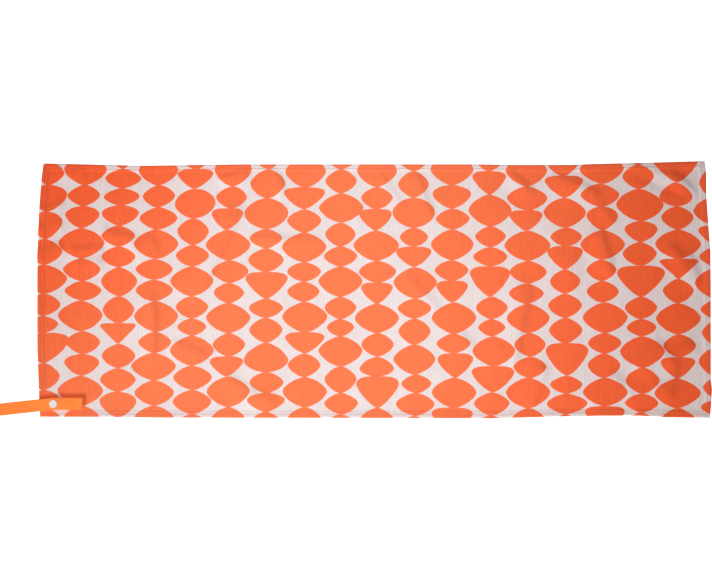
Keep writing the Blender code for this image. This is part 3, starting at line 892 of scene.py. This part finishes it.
webbingLook = webbingMaterial()
joinRun = bendRun + strap["joinGap"]
lowerRuns = np.linspace(strap["tabReach"], joinRun, strap["legPoints"])
lowerPath = np.column_stack((lowerRuns, lowerHeight(lowerRuns)))
lowerLeg = makeWebbing("strapLowerLeg", lowerPath, 0, webbingLook)

bendPath = [(joinRun, bendLow)] + halfTurn(bendRun, bendLow, bendRadius, 1)
bendPath += [(joinRun, float(upperLegHeight(np.array(joinRun))))]
bend = makeWebbing("strapBend", bendPath, strap["bendPattern"], webbingLook)

turnRadius = halfStrap + strap["tuck"]
tabEnd = strap["tabReach"] - turnRadius - halfStrap
upperRuns = np.linspace(joinRun, tabEnd, strap["legPoints"])
upperPath = list(zip(upperRuns, upperLegHeight(upperRuns)))
upperPath += halfTurn(tabEnd, upperHeight, turnRadius, -1)
upperPath += [(strap["tabReach"] - strap["turnedUnder"], upperHeight - 2 * turnRadius)]
upperLeg = makeWebbing("strapUpperLeg", upperPath, strap["upperPattern"], webbingLook)

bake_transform(lowerLeg)
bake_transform(bend)
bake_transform(upperLeg)
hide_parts("strap_base", "strap_lower_leg")
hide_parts("strap_bend")
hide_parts("strap_upper_leg", "strap_tab")
print("strap:", sum(len(p.data.polygons) for p in (lowerLeg, bend, upperLeg)), "faces")


# The strap's own stitching: a box of stitches on the cloth, and one row across the tab
strapThread = {
    "colour": "#F98F45",
    "shadow": "#D8601F",
    "pitch": 2.4,
    "length": 2.1,
    "width": 0.5,
    "height": 0.4,
    "above": 0.05,  # the thread's middle over the webbing
}
strapThreadLook = threadMaterial("polyesterStrapThread", strapThread["colour"], strapThread["shadow"])


def stitchedLines(name, lines, webbingHeight, body, node):
    bm = bmesh.new()
    for start, end in lines:
        mesh, _, (x, y), above = stitchLine(name, start, end, strapThread, strapThreadLook)
        setPoints(mesh, np.column_stack((x, y, webbingHeight + halfStrap + strapThread["above"] + above)))
        bm.from_mesh(mesh)
        bpy.data.meshes.remove(mesh)
    obj = meshObject(name, bm, [strapThreadLook])
    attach(obj, body)
    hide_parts(node)


boxLow, boxHigh = boxOf("strap_seam_thread")
boxCorners = [(boxLow.x, boxLow.y), (boxHigh.x, boxLow.y), (boxHigh.x, boxHigh.y), (boxLow.x, boxHigh.y)]
stitchedLines("strapBoxStitching", list(zip(boxCorners, boxCorners[1:] + boxCorners[:1])),
              sewnHeight, "towel_left", "strap_seam_thread")
rowLow, rowHigh = boxOf("tab_seam_thread")
rowX = (rowLow.x + rowHigh.x) / 2
stitchedLines("tabStitching", [((rowX, rowLow.y), (rowX, rowHigh.y))],
              upperHeight, "tab", "tab_seam_thread")
print("strap stitching: 2 pieces")


# Snap: size 20, four turned pieces. Acetal is a milky, waxy plastic with a soft moulded gloss.
snap = {
    "colour": "#E9E1DD",
    "darker": "#E3DAD6",
    "lighter": "#EFE8E5",
    "roughness": 0.42,
    "gloss": (0.36, 0.5),  # roughness varies between these
    "grain": 0.8,          # size of the mould's faint texture, and its depth
    "relief": 0.05,
    "steps": 72,           # round each piece
    "sharpAngle": 35,
    "rimGap": 0.1,         # between a cap's rim and the webbing
}


def snapMaterial():
    material, tree, shader = newMaterial(
        "mouldedAcetal", snap["colour"], snap["roughness"],
        {"IOR": 1.48, "Subsurface Weight": 0.08, "Subsurface Scale": 0.8 * mm},
    )
    place = addNode(tree, "TexCoord", output="Object")
    grain = addNode(tree, "TexNoise", {"Vector": place, "Scale": 1 / (snap["grain"] * mm), "Detail": 3.0})
    tone = addNode(tree, "Mix", {0: grain, 6: snap["darker"], 7: snap["lighter"]}, 2, data_type="RGBA")
    finishShader(tree, shader, tone, grain, 0.15, snap["relief"])
    smooth, dull = snap["gloss"]
    gloss = addNode(tree, "MapRange", {"Value": grain, "To Min": smooth, "To Max": dull})
    tree.links.new(gloss, shader.inputs["Roughness"])
    return material


snapLook = snapMaterial()


# A turned piece, from a profile of (radius, height over the table). A ring's profile is closed.
def turned(name, node, body, profile, closed=False):
    bm = bmesh.new()
    corners = [bm.verts.new((radius, 0, height)) for radius, height in profile]
    edges = [bm.edges.new(pair) for pair in zip(corners, corners[1:])]
    if closed:
        edges.append(bm.edges.new((corners[-1], corners[0])))
    bmesh.ops.spin(bm, geom=corners + edges, cent=(0, 0, 0), axis=(0, 0, 1), angle=2 * math.pi,
                   steps=snap["steps"], use_merge=True)
    bmesh.ops.remove_doubles(bm, verts=bm.verts, dist=0.001)
    bmesh.ops.recalc_face_normals(bm, faces=bm.faces)
    bmesh.ops.translate(bm, verts=bm.verts, vec=snapMiddle)
    bmesh.ops.scale(bm, verts=bm.verts, vec=(mm, mm, mm))
    obj = meshObject(name, bm, [snapLook])
    obj.data.set_sharp_from_angle(angle=math.radians(snap["sharpAngle"]))
    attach(obj, body)
    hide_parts(node)


# A cap from its prong's tip to its face's middle, facing up or down
def capProfile(rim, face, prongEnd):
    up = 1 if face > rim else -1
    return [
        (0, prongEnd), (0.9, prongEnd), (1.2, prongEnd + 0.3 * up), (1.2, rim), (5.9, rim),
        (6.15, rim + 0.1 * up), (6.25, rim + 0.3 * up), (6.25, face - 0.45 * up), (6.2, face - 0.3 * up),
        (6.06, face - 0.14 * up), (5.8, face - 0.03 * up), (5.5, face), (5.2, face - 0.02 * up),
        (4.95, face - 0.12 * up), (4.6, face - 0.17 * up), (3.2, face - 0.12 * up),
        (1.4, face - 0.07 * up), (0, face - 0.06 * up),
    ]


capRim = upperHeight + halfStrap + snap["rimGap"]
turned("snapCap", "snap_cap", "tab", capProfile(capRim, snapHigh.z, snapLow.z))
backLow, backHigh = boxOf("snap_back_cap")
backRim = overHemHeight - halfStrap - snap["rimGap"]
turned("snapBackCap", "snap_back_cap", "towel_left", capProfile(backRim, backLow.z, backHigh.z))
foot, tip = (corner.z for corner in boxOf("snap_stud"))
turned("snapStud", "snap_stud", "towel_left", [
    (1.5, foot), (5.45, foot), (5.7, foot + 0.12), (5.75, foot + 0.3), (5.7, foot + 0.6),
    (5.4, foot + 0.8), (3.1, foot + 0.8), (2.6, foot + 0.9), (2.35, foot + 1.1), (2.35, foot + 1.3),
    (2.5, foot + 1.7), (2.5, tip - 0.5), (2.4, tip - 0.2), (2.1, tip), (1.7, tip), (1.5, tip - 0.15),
], closed=True)
mouth, top = (corner.z for corner in boxOf("snap_socket"))
turned("snapSocket", "snap_socket", "tab", [
    (2.8, mouth + 0.15), (3.0, mouth), (5.3, mouth), (5.6, mouth + 0.12), (5.75, mouth + 0.4),
    (5.75, top - 0.5), (5.6, top - 0.15), (5.3, top), (1.5, top), (1.5, top - 0.6), (2.8, top - 0.6),
], closed=True)
print("snap: 4 turned pieces")


# Studio, in metres. The floor is a sweep of matt white paper, flat and without a texture. It glows
# a little, so that it stays an even white round the towel.
studio = {
    "floor": "#F4F3F2",
    "floorRoughness": 0.9,
    "floorGlow": 0.9,
    "floorDepth": 0.3 * mm,  # the paper lies this far under the towel
    "floorReach": 40,
    "worldStrength": 0.1,
    "keyStrength": 2.4,
    "keyFrom": (-0.68, -0.8, 0.9),
    "keyAngle": 25,
    "poolPower": 212,
    "poolPlace": (-0.05, -0.11, 3.2),
    "poolRadius": 0.25,
    "poolReach": 0.75,       # the pool of light fades out this far from its middle
    "cameraDistance": 2.637,
    "cameraPlace": (0.0183, 0.0006),
    "cameraLens": 85,        # in mm, on a 36 mm sensor
}


def addLight(name, kind, place, aim, settings):
    light = bpy.data.lights.new(name, kind)
    for key, value in settings.items():
        setattr(light, key, value)
    obj = bpy.data.objects.new(name, light)
    bpy.context.scene.collection.objects.link(obj)
    obj.location = place
    obj.rotation_euler = (Vector(aim) - Vector(place)).to_track_quat("-Z", "Y").to_euler()


def makeFloor():
    bm = bmesh.new()
    bmesh.ops.create_grid(bm, x_segments=1, y_segments=1, size=studio["floorReach"])
    bmesh.ops.translate(bm, verts=bm.verts, vec=(0, 0, -studio["floorDepth"]))
    material, _, _ = newMaterial(
        "paperSweep", studio["floor"], studio["floorRoughness"],
        {"Emission Color": (1, 1, 1, 1), "Emission Strength": studio["floorGlow"]},
    )
    meshObject("floor", bm, [material])


makeFloor()
world = bpy.data.worlds.new("studio")
bpy.context.scene.world = world
world.use_nodes = True
background = world.node_tree.nodes["Background"]
background.inputs["Color"].default_value = linear("#FFFFFF")
background.inputs["Strength"].default_value = studio["worldStrength"]
addLight("key", "SUN", studio["keyFrom"], (0, 0, 0),
         {"energy": studio["keyStrength"], "angle": math.radians(studio["keyAngle"])})
poolX, poolY, poolHeight = studio["poolPlace"]
addLight("pool", "SPOT", studio["poolPlace"], (poolX, poolY, 0), {
    "energy": studio["poolPower"], "shadow_soft_size": studio["poolRadius"],
    "spot_size": 2 * math.atan(studio["poolReach"] / poolHeight), "spot_blend": 1.0,
})

camera = bpy.data.objects.new("camera", bpy.data.cameras.new("camera"))
bpy.context.scene.collection.objects.link(camera)
camera.data.lens = studio["cameraLens"]
camera.data.sensor_width = 36
camera.location = (*studio["cameraPlace"], studio["cameraDistance"])
bpy.context.scene.camera = camera
bpy.context.scene.view_settings.view_transform = "Standard"
print("studio ready")
